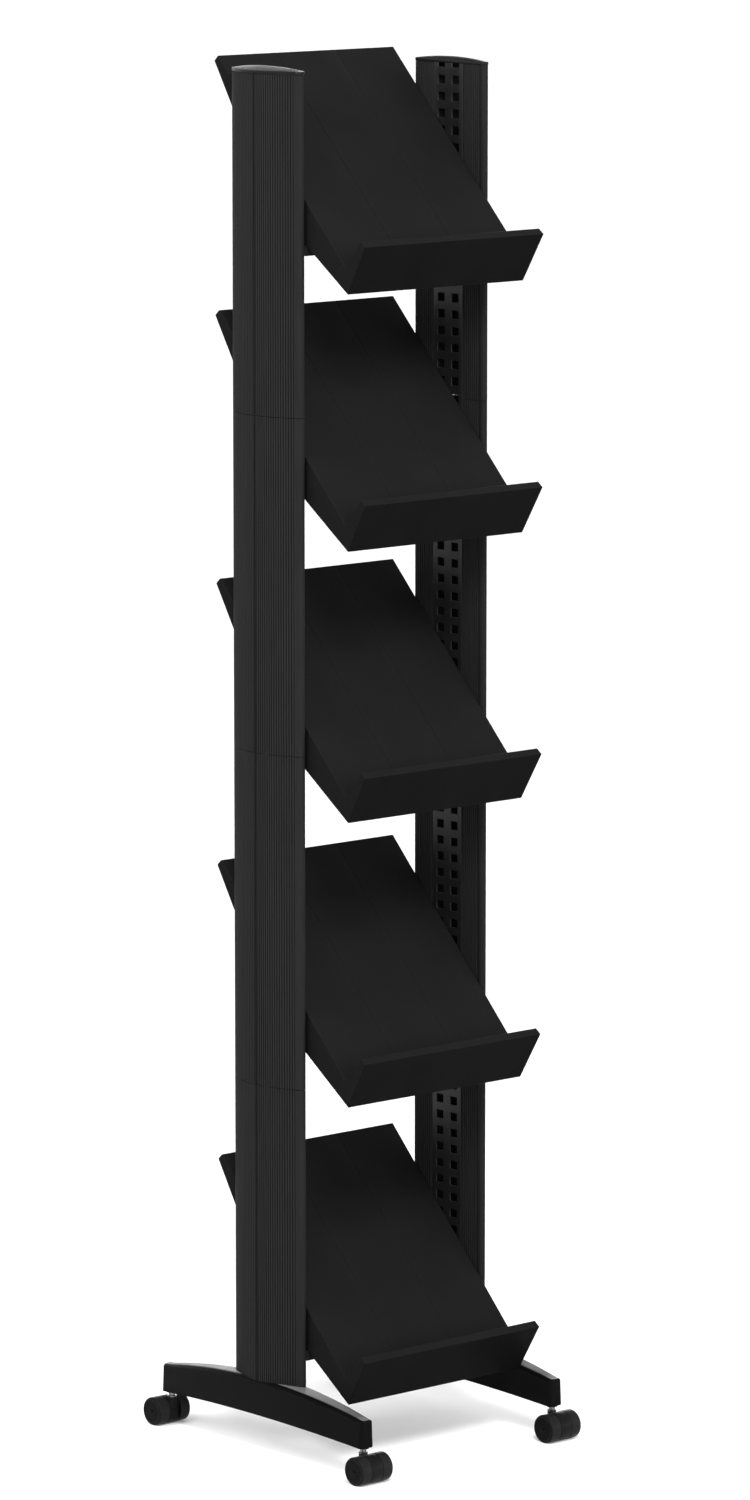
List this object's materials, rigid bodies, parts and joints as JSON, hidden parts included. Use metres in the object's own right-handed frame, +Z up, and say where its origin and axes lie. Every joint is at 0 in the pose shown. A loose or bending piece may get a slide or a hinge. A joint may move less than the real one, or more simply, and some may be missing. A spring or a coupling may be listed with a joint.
{
  "type": "newspaper rack",
  "caption": "Mobile rack with two slim fluted columns on arched feet with casters and sloping lipped trays hung between perforated rails.",
  "frame": {"origin": "on the floor, under the middle of the rack", "axes": "+Z up; -Y is the front, where the trays' lips are; +X to the right seen from the front"},
  "size_m": [0.35, 0.4108, 1.6674],
  "materials": {
    "column_plastic": "fine upright flutes, satin charcoal black",
    "cap_plastic": "finely ribbed satin black",
    "foot_plastic": "smooth semi-gloss black",
    "tray_plastic": "fine grained matte black",
    "rail_steel": "black powder coat",
    "beam_steel": "black powder coat",
    "wheel_plastic": "semi-gloss black nylon",
    "body_plastic": "satin black nylon",
    "bright_steel": "bright zinc or chrome plate",
    "socket_plastic": "black nylon"
  },
  "bodies": {
    "rack": {"column_cover_left_1": "column_plastic", "column_cover_left_2": "column_plastic", "column_cover_left_3": "column_plastic", "column_cover_left_4": "column_plastic", "rail_left": "rail_steel", "rail_block_left": "socket_plastic", "top_cap_left": "cap_plastic", "foot_left": "foot_plastic", "foot_bolt_left_front": "bright_steel", "foot_bolt_left_back": "bright_steel", "column_cover_right_1": "column_plastic", "column_cover_right_2": "column_plastic", "column_cover_right_3": "column_plastic", "column_cover_right_4": "column_plastic", "rail_right": "rail_steel", "rail_block_right": "socket_plastic", "top_cap_right": "cap_plastic", "foot_right": "foot_plastic", "foot_bolt_right_front": "bright_steel", "foot_bolt_right_back": "bright_steel", "tray_1": "tray_plastic", "tray_2": "tray_plastic", "tray_3": "tray_plastic", "tray_4": "tray_plastic", "tray_5": "tray_plastic", "cross_beam_bottom": "beam_steel", "cross_beam_top": "beam_steel", "caster_socket_front_left": "socket_plastic", "caster_socket_front_right": "socket_plastic", "caster_socket_back_left": "socket_plastic", "caster_socket_back_right": "socket_plastic"},
    "caster_front_left": {"caster_stem_front_left": "bright_steel", "caster_body_front_left": "body_plastic", "caster_axle_front_left": "bright_steel"},
    "wheel_front_left_outer": {"wheel_front_left_outer": "wheel_plastic"},
    "wheel_front_left_inner": {"wheel_front_left_inner": "wheel_plastic"},
    "caster_front_right": {"caster_stem_front_right": "bright_steel", "caster_body_front_right": "body_plastic", "caster_axle_front_right": "bright_steel"},
    "wheel_front_right_outer": {"wheel_front_right_outer": "wheel_plastic"},
    "wheel_front_right_inner": {"wheel_front_right_inner": "wheel_plastic"},
    "caster_back_left": {"caster_stem_back_left": "bright_steel", "caster_body_back_left": "body_plastic", "caster_axle_back_left": "bright_steel"},
    "wheel_back_left_outer": {"wheel_back_left_outer": "wheel_plastic"},
    "wheel_back_left_inner": {"wheel_back_left_inner": "wheel_plastic"},
    "caster_back_right": {"caster_stem_back_right": "bright_steel", "caster_body_back_right": "body_plastic", "caster_axle_back_right": "bright_steel"},
    "wheel_back_right_outer": {"wheel_back_right_outer": "wheel_plastic"},
    "wheel_back_right_inner": {"wheel_back_right_inner": "wheel_plastic"}
  },
  "joints": [
    {"name": "swivel_front_left", "type": "hinge", "parent": "rack", "child": "caster_front_left", "pos_m": [-0.151, -0.1778, 0.05], "axis": [0, 0, 1], "continuous": true},
    {"name": "spin_front_left_outer", "type": "hinge", "parent": "caster_front_left", "child": "wheel_front_left_outer", "pos_m": [-0.151, -0.1881, 0.0173], "axis": [1, 0, 0], "continuous": true},
    {"name": "spin_front_left_inner", "type": "hinge", "parent": "caster_front_left", "child": "wheel_front_left_inner", "pos_m": [-0.151, -0.1881, 0.0173], "axis": [1, 0, 0], "continuous": true},
    {"name": "swivel_front_right", "type": "hinge", "parent": "rack", "child": "caster_front_right", "pos_m": [0.151, -0.1778, 0.05], "axis": [0, 0, 1], "continuous": true},
    {"name": "spin_front_right_outer", "type": "hinge", "parent": "caster_front_right", "child": "wheel_front_right_outer", "pos_m": [0.151, -0.1881, 0.0173], "axis": [1, 0, 0], "continuous": true},
    {"name": "spin_front_right_inner", "type": "hinge", "parent": "caster_front_right", "child": "wheel_front_right_inner", "pos_m": [0.151, -0.1881, 0.0173], "axis": [1, 0, 0], "continuous": true},
    {"name": "swivel_back_left", "type": "hinge", "parent": "rack", "child": "caster_back_left", "pos_m": [-0.151, 0.1778, 0.05], "axis": [0, 0, 1], "continuous": true},
    {"name": "spin_back_left_outer", "type": "hinge", "parent": "caster_back_left", "child": "wheel_back_left_outer", "pos_m": [-0.151, 0.1881, 0.0173], "axis": [1, 0, 0], "continuous": true},
    {"name": "spin_back_left_inner", "type": "hinge", "parent": "caster_back_left", "child": "wheel_back_left_inner", "pos_m": [-0.151, 0.1881, 0.0173], "axis": [1, 0, 0], "continuous": true},
    {"name": "swivel_back_right", "type": "hinge", "parent": "rack", "child": "caster_back_right", "pos_m": [0.151, 0.1778, 0.05], "axis": [0, 0, 1], "continuous": true},
    {"name": "spin_back_right_outer", "type": "hinge", "parent": "caster_back_right", "child": "wheel_back_right_outer", "pos_m": [0.151, 0.1881, 0.0173], "axis": [1, 0, 0], "continuous": true},
    {"name": "spin_back_right_inner", "type": "hinge", "parent": "caster_back_right", "child": "wheel_back_right_inner", "pos_m": [0.151, 0.1881, 0.0173], "axis": [1, 0, 0], "continuous": true}
  ]
}
